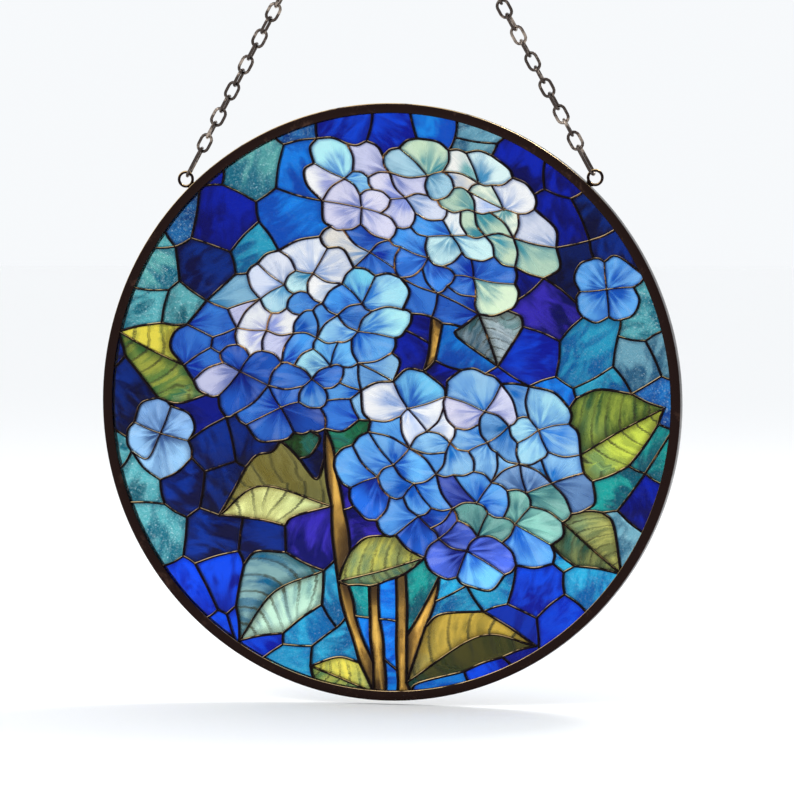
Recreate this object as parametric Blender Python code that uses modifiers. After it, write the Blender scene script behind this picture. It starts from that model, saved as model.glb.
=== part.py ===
"""Round stained glass suncatcher: hydrangeas in leaded glass, a metal rim and two hanging chains.

Sizes are in metres, +Z is up and the front faces -Y. The origin is where the hook bears,
at the inner top of the hanging ring. The picture in the panel is laid out in shares of the
panel's radius, x to the right and z up, as seen from the front.
"""

import math
import random

import bmesh
import bpy
from mathutils import Matrix, Vector
from mathutils.geometry import delaunay_2d_cdt

# Rim: a U channel bent to a ring
RIM_RADIUS = 0.150
RIM_FACE = 0.005
RIM_DEPTH = 0.0064
CHANNEL_DEPTH = 0.0022
RIM_STEPS = 48

# Glass and leading
GLASS_THICK = 0.003
GLASS_CROWN = 0.0004
LEAD_THICK = 0.0042
LEAD_WIDTH = 0.0016
CLEARANCE = 0.0003
EDGE_STEPS = 36

# Loops soldered to the rim, at an angle above the horizontal
LOOP_RADIUS = 0.0036
LOOP_WIRE = 0.0015
LOOP_ANGLE = math.radians(46.6)

# Chains: links of square wire, measured inside
LINK_WIRE = 0.0016
LINK_INSIDE = 0.0075
LINK_OPENING = 0.0041
LONG_LINK_INSIDE = 0.0146
LINKS = 27

# Hanging ring
RING_RADIUS = 0.009
RING_WIRE = 0.002
ROUND_STEPS = 12

# Layout of the picture, in shares of the panel's radius
SEED = 11
SNAP = 0.0004
SHORT_EDGE = 0.034
THIN_CELL = 0.020
STRAIGHT = math.radians(27)
STRAIGHT_AT_RIM = math.radians(6)
PANE_SPACING = 0.185
PANE_JITTER = 0.30
PANE_REACH = 0.30
PANE_GROUPS = 16
CELL_SIDES = 8
LEAF_STEPS = 5
LEAF_FULLNESS = 0.80
LEAF_BELLY = 0.85
STEM_WIDTH = 0.034
STEM_STEPS = 3

# Florets laid over the dome of a head, in shares of the head's half width
GOLDEN_ANGLE = math.pi * (3 - math.sqrt(5))
HEAD_DOME = 1.12
HEAD_SPREAD = 0.90
PETAL_OFFSET = 0.20
PETAL_REACH = 0.25
OFFSET_JITTER = 0.08
TURN_JITTER = 0.12
SINGLE_REACH = 0.62
WELD = 1e-6
SMOOTH_BELOW = math.radians(40)

# Flower heads: middle x and z, half width, half height, tilt in degrees, florets
HEADS = {
    "top": (0.145, 0.602, 0.430, 0.255, -23, 12),
    "left": (-0.326, 0.194, 0.385, 0.290, 14, 12),
    "right": (0.290, -0.236, 0.398, 0.322, -25, 13),
}

# Single florets: middle x and z, radius, turn in degrees
FLORETS = {
    "left": (-0.815, -0.115, 0.114, 20),
    "right": (0.765, 0.388, 0.112, 50),
}

# Leaves: base x and z, tip x and z, width, bend of the midrib
BACK_LEAVES = {
    "small_left": (-0.240, -0.125, -0.400, -0.125, 0.130, 0.010),
    "small_right": (-0.200, -0.160, -0.110, -0.010, 0.110, 0.010),
    "hanging": (0.320, 0.345, 0.385, 0.130, 0.235, 0.010),
    "upper_left": (-0.640, 0.010, -0.945, 0.235, 0.260, -0.030),
    "edge": (0.590, -0.390, 0.800, -0.565, 0.210, 0.020),
    "right": (0.600, -0.215, 0.965, -0.010, 0.295, 0.030),
}
FRONT_LEAVES = {
    "middle_left": (-0.190, -0.350, -0.606, -0.405, 0.235, -0.095),
    "lower_left": (-0.217, -0.590, -0.530, -0.828, 0.300, -0.062),
    "bottom": (-0.052, -0.975, -0.285, -0.915, 0.120, -0.010),
    "lower_right": (0.066, -0.962, 0.520, -0.822, 0.212, 0.092),
    "centre": (-0.178, -0.620, 0.151, -0.536, 0.165, 0.045),
}

# Stems: points that the middle of each one runs through
STEMS = {
    "upper": ((0.156, 0.340), (0.176, 0.230), (0.100, 0.040)),
    "left": ((-0.236, -0.030), (-0.213, -0.150), (-0.182, -0.338), (-0.148, -0.460), (-0.158, -0.620),
             (-0.118, -0.780), (-0.052, -0.930), (-0.034, -1.010)),
    "right": ((0.177, -0.440), (0.182, -0.600), (0.128, -0.720), (0.070, -0.840), (0.052, -1.010)),
    "middle": ((-0.050, -0.580), (-0.044, -0.780), (-0.030, -0.920), (-0.028, -1.010)),
    "centre": ((0.046, -0.540), (0.050, -0.800), (0.052, -1.010)),
}

# Colours
BRONZE = (0.045, 0.032, 0.024, 1)
LEAF_GREEN = (0.42, 0.50, 0.10, 1)
STEM_AMBER = (0.55, 0.30, 0.07, 1)
PETAL_BLUE = (0.30, 0.45, 0.85, 1)
PANE_BLUE = (0.05, 0.20, 0.55, 1)


def circle(middle, radius, steps):
    """A regular polygon round a point, anticlockwise."""
    turn = 2 * math.pi / steps
    return [middle + radius * Vector((math.cos(turn * i), math.sin(turn * i))) for i in range(steps)]


def sides(polygon):
    """Each side of a polygon as a pair of points."""
    return list(zip(polygon, polygon[1:] + polygon[:1]))


def clipped(polygon, point, normal):
    """The part of a polygon behind the line through a point, away from the normal."""
    kept = []
    for here, there in sides(polygon):
        ahead = (here - point).dot(normal)
        after = (there - point).dot(normal)
        if ahead <= 0:
            kept.append(here)
        if ahead * after < 0:
            kept.append(here.lerp(there, ahead / (ahead - after)))
    return kept


def area(polygon):
    """Signed area, positive when anticlockwise."""
    return 0.5 * sum(here.cross(there) for here, there in sides(polygon))


def outward(here, there):
    """The outward direction of a side of an anticlockwise polygon."""
    along = there - here
    return Vector((along.y, -along.x)).normalized()


def seeing_part(polygon):
    """The part of a polygon from which all of it can be seen."""
    low_x, high_x = min(p.x for p in polygon), max(p.x for p in polygon)
    low_y, high_y = min(p.y for p in polygon), max(p.y for p in polygon)
    part = [Vector((low_x, low_y)), Vector((high_x, low_y)),
            Vector((high_x, high_y)), Vector((low_x, high_y))]
    for here, there in sides(polygon):
        if part and (there - here).length > 0:
            part = clipped(part, here, outward(here, there))
    return part


def is_inside(point, polygon):
    """Whether a point lies in a polygon."""
    inside = False
    for here, there in sides(polygon):
        if (here.y > point.y) != (there.y > point.y):
            share = (point.y - here.y) / (there.y - here.y)
            if point.x < here.x + share * (there.x - here.x):
                inside = not inside
    return inside


def cells(sites, reach, steps):
    """One polygon round each site: nearer to it than to any other, and within reach."""
    polygons = []
    for site in sites:
        polygon = circle(site, reach, steps)
        for other in sites:
            apart = other - site
            if 0 < apart.length < 2 * reach:
                polygon = clipped(polygon, (site + other) / 2, apart)
        polygons.append(polygon)
    return polygons


def head_petals(middle_x, middle_z, half_width, half_height, tilt, florets, draw):
    """Petals of a flower head: florets of four laid over a dome, seen from the front."""
    rim_height = math.sqrt(1 - (HEAD_SPREAD / HEAD_DOME) ** 2)
    sites = []
    for number in range(florets):
        height = 1 - (1 - rim_height) * (number + 0.5) / florets
        flat = math.sqrt(1 - height ** 2)
        angle = GOLDEN_ANGLE * number + draw.uniform(-TURN_JITTER, TURN_JITTER)
        facing = Vector((flat * math.cos(angle), flat * math.sin(angle), height))
        first = facing.orthogonal().normalized()
        second = facing.cross(first)
        spin = draw.uniform(0, math.pi / 2)
        offset = PETAL_OFFSET * (1 + draw.uniform(-OFFSET_JITTER, OFFSET_JITTER))
        for petal in range(4):
            turn = spin + petal * math.pi / 2 + draw.uniform(-TURN_JITTER, TURN_JITTER)
            aside = offset * (math.cos(turn) * first + math.sin(turn) * second)
            sites.append((facing + aside).normalized().to_2d() * HEAD_DOME)
    place = Matrix.Rotation(math.radians(tilt), 2) @ Matrix(((half_width, 0), (0, half_height)))
    middle = Vector((middle_x, middle_z))
    return [[place @ point + middle for point in cell]
            for cell in cells(sites, PETAL_REACH, CELL_SIDES)]


def floret_petals(middle_x, middle_z, radius, turn):
    """The four petals of a single floret."""
    middle = Vector((middle_x, middle_z))
    spin = Matrix.Rotation(math.radians(turn), 2)
    sites = [middle + spin @ point for point in circle(Vector((0, 0)), radius / 2, 4)]
    return cells(sites, radius * SINGLE_REACH, CELL_SIDES)


def leaf_halves(base_x, base_z, tip_x, tip_z, width, bend):
    """The two halves of a leaf on either side of its bent midrib."""
    base = Vector((base_x, base_z))
    along = Vector((tip_x, tip_z)) - base
    across = Vector((-along.y, along.x)).normalized()
    rib, left, right = [], [], []
    for step in range(LEAF_STEPS + 1):
        share = step / LEAF_STEPS
        middle = base + share * along + 4 * bend * share * (1 - share) * across
        half = width / 2 * max(0, math.sin(math.pi * share ** LEAF_BELLY)) ** LEAF_FULLNESS
        rib.append(middle)
        left.append(middle + half * across)
        right.append(middle - half * across)
    return [rib + left[-2:0:-1], right[:-1] + rib[:0:-1]]


def stem_strip(points):
    """A strip of even width along a smooth line through the points."""
    points = [Vector(point) for point in points]
    ends = [2 * points[0] - points[1]] + points + [2 * points[-1] - points[-2]]
    line = []
    for a, b, c, d in zip(ends, ends[1:], ends[2:], ends[3:]):
        for step in range(STEM_STEPS):
            t = step / STEM_STEPS
            line.append(0.5 * (2 * b + t * (c - a) + t ** 2 * (2 * a - 5 * b + 4 * c - d)
                               + t ** 3 * (3 * b - a - 3 * c + d)))
    line.append(points[-1])
    left, right = [], []
    for number, point in enumerate(line):
        along = line[min(number + 1, len(line) - 1)] - line[max(number - 1, 0)]
        across = Vector((-along.y, along.x)).normalized() * STEM_WIDTH / 2
        left.append(point + across)
        right.append(point - across)
    return [right + left[::-1]]


def background_panes(draw):
    """Panes of the ground: cells round the points of a jittered grid."""
    sites = []
    rows = math.ceil(1 / (PANE_SPACING * math.sqrt(0.75))) + 1
    for row in range(-rows, rows + 1):
        for column in range(-rows, rows + 1):
            site = Vector((column + row % 2 / 2, row * math.sqrt(0.75)))
            site += PANE_JITTER * Vector((draw.uniform(-1, 1), draw.uniform(-1, 1)))
            sites.append(site * PANE_SPACING)
    return cells([site for site in sites if site.length < 1 + PANE_SPACING], PANE_REACH, CELL_SIDES)


def picture_layers():
    """All cells of the picture as (piece, polygon), the lowest first."""
    draw = random.Random(SEED)
    layers = [("background", cell) for cell in background_panes(draw)]
    for name, sizes in BACK_LEAVES.items():
        layers += [("leaf_" + name, cell) for cell in leaf_halves(*sizes)]
    for name, sizes in FLORETS.items():
        layers += [("floret_" + name, cell) for cell in floret_petals(*sizes)]
    for name, points in STEMS.items():
        layers += [("stem_" + name, cell) for cell in stem_strip(points)]
    for name, sizes in HEADS.items():
        layers += [("hydrangea_" + name, cell) for cell in head_petals(*sizes, draw)]
    for name, sizes in FRONT_LEAVES.items():
        layers += [("leaf_" + name, cell) for cell in leaf_halves(*sizes)]
    return layers


def flat(vert):
    """A vertex of the layout as a point."""
    return vert.co.to_2d()


def lay_out(edge):
    """The picture as one flat mesh: a face for each cell, with its layer's number."""
    layers = picture_layers()
    points, lines = [], []
    for polygon in [cell for _, cell in layers] + [edge]:
        first = len(points)
        points += polygon
        lines += [(first + i, first + (i + 1) % len(polygon)) for i in range(len(polygon))]
    points, _, triangles = delaunay_2d_cdt(points, lines, [], 0, SNAP)[:3]
    layout = bmesh.new()
    number = layout.faces.layers.int.new("number")
    verts = [layout.verts.new((point.x, point.y, 0)) for point in points]
    boxes = [(min(p.x for p in cell), max(p.x for p in cell),
              min(p.y for p in cell), max(p.y for p in cell)) for _, cell in layers]
    for triangle in triangles:
        middle = sum((points[corner] for corner in triangle), Vector((0, 0))) / 3
        if not is_inside(middle, edge):
            continue
        on_top = 0
        for place, (low_x, high_x, low_y, high_y) in enumerate(boxes):
            if low_x < middle.x < high_x and low_y < middle.y < high_y:
                if is_inside(middle, layers[place][1]):
                    on_top = place
        layout.faces.new([verts[corner] for corner in triangle])[number] = on_top
    loose = [vert for vert in layout.verts if not vert.link_faces]
    bmesh.ops.delete(layout, geom=loose, context="VERTS")
    hidden = [line for line in layout.edges
              if len({face[number] for face in line.link_faces}) == 1 and not line.is_boundary]
    bmesh.ops.dissolve_edges(layout, edges=hidden, use_verts=False)
    return layout, number, [name for name, _ in layers]


def drop_straight_corners(layout):
    """Take out the corners that lie on a nearly straight line."""
    for vert in list(layout.verts):
        if len(vert.link_edges) != 2:
            continue
        before, after = [line.other_vert(vert) for line in vert.link_edges]
        turn = (flat(vert) - flat(before)).angle(flat(after) - flat(vert), 0)
        limit = STRAIGHT_AT_RIM if vert.is_boundary else STRAIGHT
        if turn < limit and not layout.edges.get((before, after)):
            bmesh.utils.vert_collapse_edge(vert, vert.link_edges[0])


def close_short_edges(layout):
    """Bring the ends of short edges together, onto the panel's edge where one end is there."""
    while True:
        length, line = min(((line.calc_length(), line) for line in layout.edges), key=lambda pair: pair[0])
        if length > SHORT_EDGE:
            return
        ends = list(line.verts)
        on_edge = [vert for vert in ends if vert.is_boundary] or ends
        middle = sum((vert.co for vert in on_edge), Vector()) / len(on_edge)
        bmesh.ops.pointmerge(layout, verts=ends, merge_co=middle)


def neighbours(face):
    """The neighbours of a face, those with the longest line between first."""
    lengths = {}
    for line in face.edges:
        for other in line.link_faces:
            if other is not face:
                lengths[other] = lengths.get(other, 0) + line.calc_length()
    return sorted(lengths, key=lengths.get, reverse=True)


def join_thin_cells(layout, number, names):
    """Give each cell that is too thin to cut in glass to a neighbour, a stem last."""
    def width(face):
        return 2 * face.calc_area() / face.calc_perimeter()

    def is_other_stem(face, other):
        name = names[other[number]]
        return name.startswith("stem") and name != names[face[number]]

    refused = set()
    while True:
        thin = [face for face in layout.faces if width(face) < THIN_CELL and face not in refused]
        if not thin:
            return
        face = min(thin, key=width)
        for other in sorted(neighbours(face), key=lambda other: is_other_stem(face, other)):
            layer = other[number]
            joined = bmesh.utils.face_join([face, other])
            if joined:
                joined[number] = layer
                break
        else:
            refused.add(face)


def outline(cells_of_piece):
    """The corners round some faces in order, or None where they aren't one plain loop."""
    piece = set(cells_of_piece)
    following = {}
    for face in cells_of_piece:
        for loop in face.loops:
            if not any(other in piece for other in loop.edge.link_faces if other is not face):
                if loop.vert in following:
                    return None
                following[loop.vert] = loop.link_loop_next.vert
    corners = [next(iter(following))]
    while following[corners[-1]] is not corners[0]:
        corners.append(following[corners[-1]])
    return corners if len(corners) == len(following) else None


def connected_parts(faces):
    """Faces sorted into parts whose cells meet along an edge, the largest part first."""
    left = list(faces)
    parts = []
    while left:
        part = [left.pop(0)]
        for face in part:
            for line in face.edges:
                for other in line.link_faces:
                    if other in left:
                        left.remove(other)
                        part.append(other)
        parts.append(part)
    return sorted(parts, key=lambda part: -sum(face.calc_area() for face in part))


def sort_into_pieces(layout, number, names):
    """The cells of each piece of glass: named shapes, and neighbouring panes of the ground."""
    pieces, panes = {}, []
    for name in sorted(set(names)):
        cells_of_name = [face for face in layout.faces if names[face[number]] == name]
        if name == "background":
            panes += [[face] for face in cells_of_name]
            continue
        for place, part in enumerate(connected_parts(cells_of_name)):
            while not outline(part):
                smallest = min(part, key=lambda face: face.calc_area())
                part.remove(smallest)
                panes.append([smallest])
            pieces[name + (f"_{place + 1}" if place else "")] = part

    def size(group):
        return sum(face.calc_area() for face in group)

    while len(panes) > PANE_GROUPS:
        panes.sort(key=size)
        for group in panes:
            around = {other for face in group for other in neighbours(face)}
            beside = [other for other in panes if other is not group and around & set(other)]
            joinable = [other for other in beside if outline(group + other)]
            if joinable:
                chosen = min(joinable, key=size)
                panes.remove(group)
                panes.remove(chosen)
                panes.append(group + chosen)
                break
        else:
            break

    def place_on_clock(group):
        middle = sum((face.calc_center_median() for face in group), Vector()) / len(group)
        return math.atan2(middle.x, middle.y) % (2 * math.pi)

    for place, group in enumerate(sorted(panes, key=place_on_clock)):
        pieces[f"background_{place + 1:02d}"] = group
    return pieces


def moved_out(points, distance):
    """Where the corners of a polygon go when all its sides move out."""
    moved = []
    for before, here, after in zip(points[-1:] + points[:-1], points, points[1:] + points[:1]):
        first, second = outward(before, here), outward(here, after)
        moved.append(here + distance * (first + second) / (1 + first.dot(second)))
    return moved


def shade(mesh):
    """Shade a mesh smooth, and sharp only where it turns a real corner."""
    mesh.shade_smooth()
    mesh.set_sharp_from_angle(angle=SMOOTH_BELOW)


def put_in(collection, name, mesh, colour, roughness, metallic=0.0, transmission=0.0):
    """An object of the part with its own material."""
    shade(mesh)
    thing = bpy.data.objects.new(name, mesh)
    collection.objects.link(thing)
    material = bpy.data.materials.new(name)
    material.use_nodes = True
    shader = material.node_tree.nodes["Principled BSDF"]
    shader.inputs["Base Color"].default_value = colour
    shader.inputs["Roughness"].default_value = roughness
    shader.inputs["Metallic"].default_value = metallic
    shader.inputs["Transmission Weight"].default_value = transmission
    thing.data.materials.clear()
    thing.data.materials.append(material)
    return thing


def glass_mesh(name, piece, scale, drop):
    """One piece of glass: a flat back, and a front with a low crown on each cell."""
    corners = outline(piece)
    inset = (LEAD_WIDTH / 2 + CLEARANCE) / scale
    moved = dict(zip(corners, moved_out([flat(vert) for vert in corners], -inset)))
    solid = bmesh.new()
    front, back = {}, {}

    def corner(level, vert, y):
        if vert not in level:
            point = moved.get(vert, flat(vert)) * scale
            level[vert] = solid.verts.new((point.x, y, point.y + drop))
        return level[vert]

    half = GLASS_THICK / 2
    for face in piece:
        ring = [corner(front, vert, -half) for vert in face.verts]
        seen = seeing_part([moved.get(vert, flat(vert)) for vert in face.verts])
        if len(seen) > 2 and abs(area(seen)) > 0:
            middle = sum(seen, Vector((0, 0))) / len(seen) * scale
            top = solid.verts.new((middle.x, -half - GLASS_CROWN, middle.y + drop))
            for here, there in sides(ring):
                solid.faces.new((here, there, top))
        else:
            solid.faces.new(ring)
    behind = [corner(back, vert, half) for vert in corners]
    solid.faces.new(behind[::-1])
    for here, there in sides(corners):
        solid.faces.new((front[there], front[here], back[here], back[there]))
    mesh = bpy.data.meshes.new(name)
    solid.to_mesh(mesh)
    solid.free()
    return mesh


def curve_mesh(name, lines, radius=0.0, thickness=0.0):
    """A mesh made with a curve: a wire along 3D lines, or a plate between flat ones."""
    curve = bpy.data.curves.new(name, "CURVE")
    curve.dimensions = "3D" if radius else "2D"
    curve.fill_mode = "FULL" if radius else "BOTH"
    curve.bevel_depth = radius
    curve.bevel_resolution = 0
    curve.extrude = thickness / 2
    for line in lines:
        spline = curve.splines.new("POLY")
        spline.points.add(len(line) - 1)
        spline.use_cyclic_u = True
        for point, place in zip(spline.points, line):
            point.co = (*place, 1) if radius else (*place, 0, 1)
    holder = bpy.data.objects.new(name, curve)
    mesh = bpy.data.meshes.new_from_object(holder)
    bpy.data.objects.remove(holder)
    bpy.data.curves.remove(curve)
    tidy = bmesh.new()
    tidy.from_mesh(mesh)
    bmesh.ops.remove_doubles(tidy, verts=tidy.verts, dist=WELD)
    tidy.to_mesh(mesh)
    tidy.free()
    return mesh


def apply_modifiers(thing):
    """Swap an object's mesh for the one that its modifiers make."""
    bpy.context.view_layer.update()
    made = bpy.data.meshes.new_from_object(thing.evaluated_get(bpy.context.evaluated_depsgraph_get()))
    thing.modifiers.clear()
    thing.data = made


def turned_rim(collection, drop):
    """The rim: the profile of a channel turned round the panel's axis."""
    outer, inner = RIM_RADIUS, RIM_RADIUS - RIM_FACE
    floor = inner + CHANNEL_DEPTH
    half, slot = RIM_DEPTH / 2, LEAD_THICK / 2 + CLEARANCE
    profile = [(outer, half), (outer, -half), (inner, -half), (inner, -slot),
               (floor, -slot), (floor, slot), (inner, slot), (inner, half)]
    mesh = bpy.data.meshes.new("frame_ring")
    mesh.from_pydata([(radius, 0, height) for radius, height in profile],
                     [(i, (i + 1) % len(profile)) for i in range(len(profile))], [])
    rim = put_in(collection, "frame_ring", mesh, BRONZE, 0.35, metallic=1.0)
    turn = rim.modifiers.new("turn", "SCREW")
    turn.axis = "Z"
    turn.steps = turn.render_steps = RIM_STEPS
    turn.use_merge_vertices = True
    turn.merge_threshold = WELD
    apply_modifiers(rim)
    rim.data.transform(Matrix.Translation((0, 0, drop)) @ Matrix.Rotation(math.pi / 2, 4, "X"))
    shade(rim.data)


def wire_ring(radius, wire, middle):
    """A round ring of wire that faces the front."""
    ring = [(middle.x + p.x, 0, middle.y + p.y) for p in circle(Vector((0, 0)), radius, ROUND_STEPS)]
    return [ring], wire / 2


def link_opening(length):
    """The opening of a link, eight corners, with an end as long as the wire is wide."""
    end, half = LINK_WIRE / 2, LINK_OPENING / 2
    shoulder = half - end
    upper = [(-half, shoulder), (-end, 0), (end, 0), (half, shoulder)]
    lower = [(-across, length - down) for across, down in upper]
    return [Vector(point) for point in upper + lower]


def chain_mesh(name, top, along):
    """Links that hang in each other, every other one turned a quarter, in one body.

    The wire is square, so two links meet on one square, which is left open in both.
    """
    sideways = Vector((along.z, 0, -along.x))
    forward = Vector((0, 1, 0))
    body = bmesh.new()
    for place in range(LINKS):
        across, normal = (sideways, forward) if place % 2 else (forward, -sideways)
        opening = link_opening(LONG_LINK_INSIDE if place == LINKS - 1 else LINK_INSIDE)
        loops = []
        for loop in (opening, moved_out(opening, LINK_WIRE)):
            for level in (-LINK_WIRE / 2, LINK_WIRE / 2):
                loops.append([body.verts.new(top + across * point.x + along * point.y + normal * level)
                              for point in loop])
        inner_low, inner_high, outer_low, outer_high = loops
        for first, second in ((inner_low, outer_low), (outer_low, outer_high),
                              (outer_high, inner_high), (inner_high, inner_low)):
            for corner, ((a, b), (c, d)) in enumerate(zip(sides(first), sides(second))):
                touches = first is inner_high and ((corner == 1 and place > 0)
                                                   or (corner == 5 and place < LINKS - 1))
                if not touches:
                    body.faces.new((a, b, d, c))
        top = top + along * LINK_INSIDE
    bmesh.ops.remove_doubles(body, verts=body.verts, dist=WELD)
    bmesh.ops.recalc_face_normals(body, faces=body.faces)
    mesh = bpy.data.meshes.new(name)
    body.to_mesh(mesh)
    body.free()
    return mesh


def build():
    """Make every piece of the suncatcher."""
    for thing in list(bpy.data.objects):
        bpy.data.objects.remove(thing)
    collection = bpy.data.collections.new("stained_glass_suncatcher")
    bpy.context.scene.collection.children.link(collection)

    # Where the chain leads fixes how far the panel hangs below the ring
    ring_middle = Vector((0, -(RING_RADIUS - RING_WIRE / 2)))
    loop_out = RIM_RADIUS + CLEARANCE + LOOP_RADIUS + LOOP_WIRE / 2
    aside, above = loop_out * math.cos(LOOP_ANGLE), loop_out * math.sin(LOOP_ANGLE)
    chain_start = RING_RADIUS - RING_WIRE / 2 - CLEARANCE
    chain_length = (LINKS - 1) * LINK_INSIDE + LONG_LINK_INSIDE
    reach = chain_start + chain_length + LOOP_RADIUS - LOOP_WIRE / 2 - CLEARANCE
    loop_drop = ring_middle.y - math.sqrt(reach ** 2 - aside ** 2)
    panel_drop = loop_drop - above

    ring_mesh = curve_mesh("hanging_ring", *wire_ring(RING_RADIUS, RING_WIRE, ring_middle))
    put_in(collection, "hanging_ring", ring_mesh, BRONZE, 0.35, metallic=1.0)
    for side, word in ((-1, "left"), (1, "right")):
        loop_middle = Vector((side * aside, loop_drop))
        loop_mesh = curve_mesh("loop_" + word, *wire_ring(LOOP_RADIUS, LOOP_WIRE, loop_middle))
        put_in(collection, "loop_" + word, loop_mesh, BRONZE, 0.35, metallic=1.0)
        down = (loop_middle - ring_middle).normalized()
        along = Vector((down.x, 0, down.y))
        start = Vector((ring_middle.x, 0, ring_middle.y)) + along * chain_start
        links = chain_mesh("chain_" + word, start, along)
        put_in(collection, "chain_" + word, links, BRONZE, 0.4, metallic=1.0)

    turned_rim(collection, panel_drop)
    scale = RIM_RADIUS - RIM_FACE + CHANNEL_DEPTH - CLEARANCE
    edge = circle(Vector((0, 0)), 1, EDGE_STEPS)
    layout, number, names = lay_out(edge)
    join_thin_cells(layout, number, names)
    drop_straight_corners(layout)
    close_short_edges(layout)
    join_thin_cells(layout, number, names)
    drop_straight_corners(layout)
    layout.normal_update()
    pieces = sort_into_pieces(layout, number, names)

    holes = [moved_out([flat(vert) for vert in outline(piece)], -LEAD_WIDTH / 2 / scale)
             for piece in pieces.values()]
    panel_edge = outline(list(layout.faces))
    web_lines = [[flat(vert) for vert in panel_edge]] + holes
    web_mesh = curve_mesh("leading", [[point * scale for point in line] for line in web_lines],
                          thickness=LEAD_THICK)
    web_mesh.transform(Matrix.Translation((0, 0, panel_drop)) @ Matrix.Rotation(math.pi / 2, 4, "X"))
    put_in(collection, "leading", web_mesh, BRONZE, 0.4, metallic=1.0)

    tints = {"hydrangea": PETAL_BLUE, "floret": PETAL_BLUE, "leaf": LEAF_GREEN,
             "stem": STEM_AMBER, "background": PANE_BLUE}
    for name, piece in pieces.items():
        tint = tints[name.split("_")[0]]
        mesh = glass_mesh(name, piece, scale, panel_drop)
        put_in(collection, name, mesh, tint, 0.08, transmission=0.9)
    layout.free()


build()
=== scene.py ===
# %% [markdown]
# # A stained glass suncatcher on two chains
#
# The real thing is a round panel of coloured glass, held by dark metal leads in a bronze rim,
# and hung in the light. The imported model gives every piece's size and place. This lesson reads
# the panes from it and dresses them: rounded leads, streaky glass, a turned rim, round links.

# %% Load the fixed frame
import math
import random
from collections import Counter

import bmesh
import bpy
from mathutils import Matrix, Vector, noise


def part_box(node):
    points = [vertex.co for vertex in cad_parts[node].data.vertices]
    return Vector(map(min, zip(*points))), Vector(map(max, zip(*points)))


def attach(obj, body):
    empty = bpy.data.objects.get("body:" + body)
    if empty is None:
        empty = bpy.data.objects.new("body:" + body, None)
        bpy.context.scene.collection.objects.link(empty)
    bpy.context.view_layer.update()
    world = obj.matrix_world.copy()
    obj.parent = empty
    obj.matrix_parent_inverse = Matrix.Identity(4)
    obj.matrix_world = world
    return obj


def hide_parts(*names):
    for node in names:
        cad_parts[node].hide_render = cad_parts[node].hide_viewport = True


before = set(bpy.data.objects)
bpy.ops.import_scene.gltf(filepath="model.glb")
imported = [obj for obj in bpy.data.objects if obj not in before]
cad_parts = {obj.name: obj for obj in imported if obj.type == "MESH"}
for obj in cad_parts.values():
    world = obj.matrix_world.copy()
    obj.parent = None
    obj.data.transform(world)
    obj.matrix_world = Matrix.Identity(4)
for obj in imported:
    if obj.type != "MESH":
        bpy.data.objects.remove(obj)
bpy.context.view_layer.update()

draw = random.Random(5)
print("nodes in the frame:", len(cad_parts))

# %% [markdown]
# ## Sizes
#
# Whatever can be measured on the frame is measured, so the looks follow the model when a size
# changes. Only what the model can't say is given here: the width of its leads, the putty gap and
# the distance at which two vertices are one.

# %% Measure the rim, the leads and the glass
rim_low, rim_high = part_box("frame_ring")
lead_low, lead_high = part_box("leading")
glass_low, glass_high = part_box("hydrangea_top")
MIDDLE = (rim_low + rim_high) / 2
RIM_RADIUS = (rim_high.x - rim_low.x) / 2
RIM_HALF = rim_high.y
EDGE_RADIUS = (lead_high.x - lead_low.x) / 2
LEAD_HALF = lead_high.y
GLASS_HALF = glass_high.y
CROWN = -glass_low.y - GLASS_HALF
LEAD_WIDTH = 0.0016
PUTTY = 0.0003
WELD = 1e-5
print(f"rim {2000 * RIM_RADIUS:.0f} mm across, glass {2000 * GLASS_HALF:.1f} mm thick")

# %% [markdown]
# ## Reading the panes back
#
# The model's glass pieces carry their cells as low crowns: every crown's top is one vertex, and
# the faces round it are one petal or pane. Faces that are flat on the front are one cell too.
# Working in the panel's own plane, x to the right and y up, keeps all that follows in 2D.

# %% Helpers for polygons in the panel's plane
def sides(items):
    """Each item with the one after it, the last with the first."""
    return list(zip(items, items[1:] + items[:1]))


def triples(items):
    """Each item of a closed list with the one before it and the one after it."""
    return list(zip(items[-1:] + items[:-1], items, items[1:] + items[:1]))


def outward(here, there):
    """The outward direction of a side of an anticlockwise polygon."""
    along = there - here
    return Vector((along.y, -along.x)).normalized()


def moved_out(points, distance, sharpest=0.0):
    """Where a polygon's corners go when its sides move out; sharpest holds thin tips back."""
    moved = []
    for before, here, after in triples(points):
        first, second = outward(before, here), outward(here, after)
        moved.append(here + distance * (first + second) / max(sharpest, 1 + first.dot(second)))
    return moved


def clipped(polygon, point, normal):
    """The part of a polygon behind the line through a point."""
    kept = []
    for here, there in sides(polygon):
        ahead, after = (here - point).dot(normal), (there - point).dot(normal)
        if ahead <= 0:
            kept.append(here)
        if ahead * after < 0:
            kept.append(here.lerp(there, ahead / (ahead - after)))
    return kept


def seeing_point(polygon):
    """A point from which the whole of a polygon is seen, or None."""
    xs, ys = [p.x for p in polygon], [p.y for p in polygon]
    part = [Vector((min(xs), min(ys))), Vector((max(xs), min(ys))),
            Vector((max(xs), max(ys))), Vector((min(xs), max(ys)))]
    for here, there in sides(polygon):
        part = clipped(part, here, outward(here, there))
        if not part:
            return None
    return sum(part, Vector((0, 0))) / len(part)


# %% Read the cells of each piece of glass
def in_plane(vert):
    """A vertex of the frame as a point of the panel's plane."""
    return Vector((vert.co.x - MIDDLE.x, vert.co.z - MIDDLE.z))


def loop_round(faces):
    """The vertices round some faces, in order."""
    inside, following = set(faces), {}
    for face in faces:
        for loop in face.loops:
            if not any(other in inside for other in loop.edge.link_faces if other is not face):
                following[loop.vert] = loop.link_loop_next.vert
    corners = [next(iter(following))]
    while following[corners[-1]] is not corners[0]:
        corners.append(following[corners[-1]])
    return corners


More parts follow.
